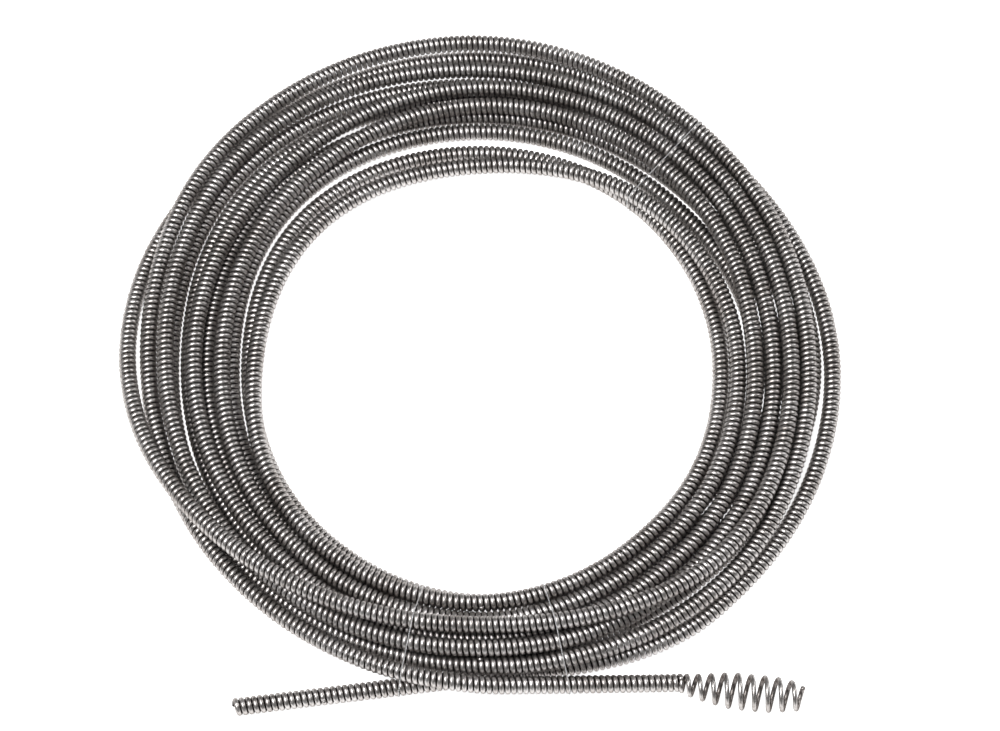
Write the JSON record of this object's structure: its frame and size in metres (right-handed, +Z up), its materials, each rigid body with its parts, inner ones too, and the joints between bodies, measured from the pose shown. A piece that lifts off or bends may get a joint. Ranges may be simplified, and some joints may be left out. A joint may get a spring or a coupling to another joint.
{
  "type": "drain auger",
  "caption": "Spring-wire drain cable in a flat tied coil, with a bulb of open windings on one end and a plain cut end.",
  "frame": {"origin": "centre of the bounding box's bottom face, on the ground under the middle of the coil", "axes": "+Z up out of the flat coil, +X towards the bulb's tip along the front edge, -Y towards the side where both free ends leave the coil"},
  "size_m": [0.2577, 0.2662, 0.0205],
  "materials": {
    "steel_turn_01": "bright drawn spring wire",
    "steel_turn_02": "bright drawn spring wire",
    "steel_turn_03": "bright drawn spring wire",
    "steel_turn_04": "bright drawn spring wire",
    "steel_turn_05": "bright drawn spring wire",
    "steel_turn_06": "bright drawn spring wire",
    "steel_turn_07": "bright drawn spring wire",
    "steel_turn_08": "bright drawn spring wire",
    "steel_turn_09": "bright drawn spring wire",
    "steel_turn_10": "bright drawn spring wire",
    "steel_turn_11": "bright drawn spring wire",
    "steel_lead_inner": "bright drawn spring wire",
    "steel_lead_outer": "bright drawn spring wire",
    "steel_bulb": "bright drawn spring wire",
    "steel_tail_inner": "bright drawn spring wire",
    "steel_tail_outer": "bright drawn spring wire",
    "nylon_1": "clear monofilament",
    "nylon_2": "clear monofilament",
    "nylon_3": "clear monofilament"
  },
  "bodies": {
    "coil": {"cable_turn_01": "steel_turn_01", "cable_turn_02": "steel_turn_02", "cable_turn_03": "steel_turn_03", "cable_turn_04": "steel_turn_04", "cable_turn_05": "steel_turn_05", "cable_turn_06": "steel_turn_06", "cable_turn_07": "steel_turn_07", "cable_turn_08": "steel_turn_08", "cable_turn_09": "steel_turn_09", "cable_turn_10": "steel_turn_10", "cable_turn_11": "steel_turn_11", "thread_tie_1": "nylon_1", "thread_tie_2": "nylon_2", "thread_tie_3": "nylon_3"},
    "lead_near": {"lead_inner": "steel_lead_inner"},
    "lead_far": {"lead_outer": "steel_lead_outer"},
    "bulb": {"bulb_auger": "steel_bulb"},
    "tail_near": {"tail_inner": "steel_tail_inner"},
    "tail_far": {"tail_outer": "steel_tail_outer"}
  },
  "joints": [
    {"name": "lead_swing", "type": "hinge", "parent": "coil", "child": "lead_near", "pos_m": [0.0464, -0.12205, 0.00491], "axis": [0, 0, 1], "range_deg": [-25, 3], "stiffness_Nm_per_rad": 0.6},
    {"name": "lead_lift", "type": "hinge", "parent": "lead_near", "child": "lead_far", "pos_m": [0.0574, -0.12158, 0.00404], "axis": [0.0386, -0.9993, 0], "range_deg": [0, 25], "stiffness_Nm_per_rad": 0.6},
    {"name": "bulb_bend", "type": "hinge", "parent": "lead_far", "child": "bulb", "pos_m": [0.0684, -0.12115, 0.00367], "axis": [0, 0, 1], "range_deg": [-12, 12], "stiffness_Nm_per_rad": 0.4},
    {"name": "tail_swing", "type": "hinge", "parent": "coil", "child": "tail_near", "pos_m": [-0.0456, -0.12511, 0.00367], "axis": [0, 0, 1], "range_deg": [-10, 25], "stiffness_Nm_per_rad": 0.6},
    {"name": "tail_lift", "type": "hinge", "parent": "tail_near", "child": "tail_far", "pos_m": [-0.0596, -0.12693, 0.00367], "axis": [-0.129, 0.9916, 0], "range_deg": [0, 25], "stiffness_Nm_per_rad": 0.6}
  ]
}
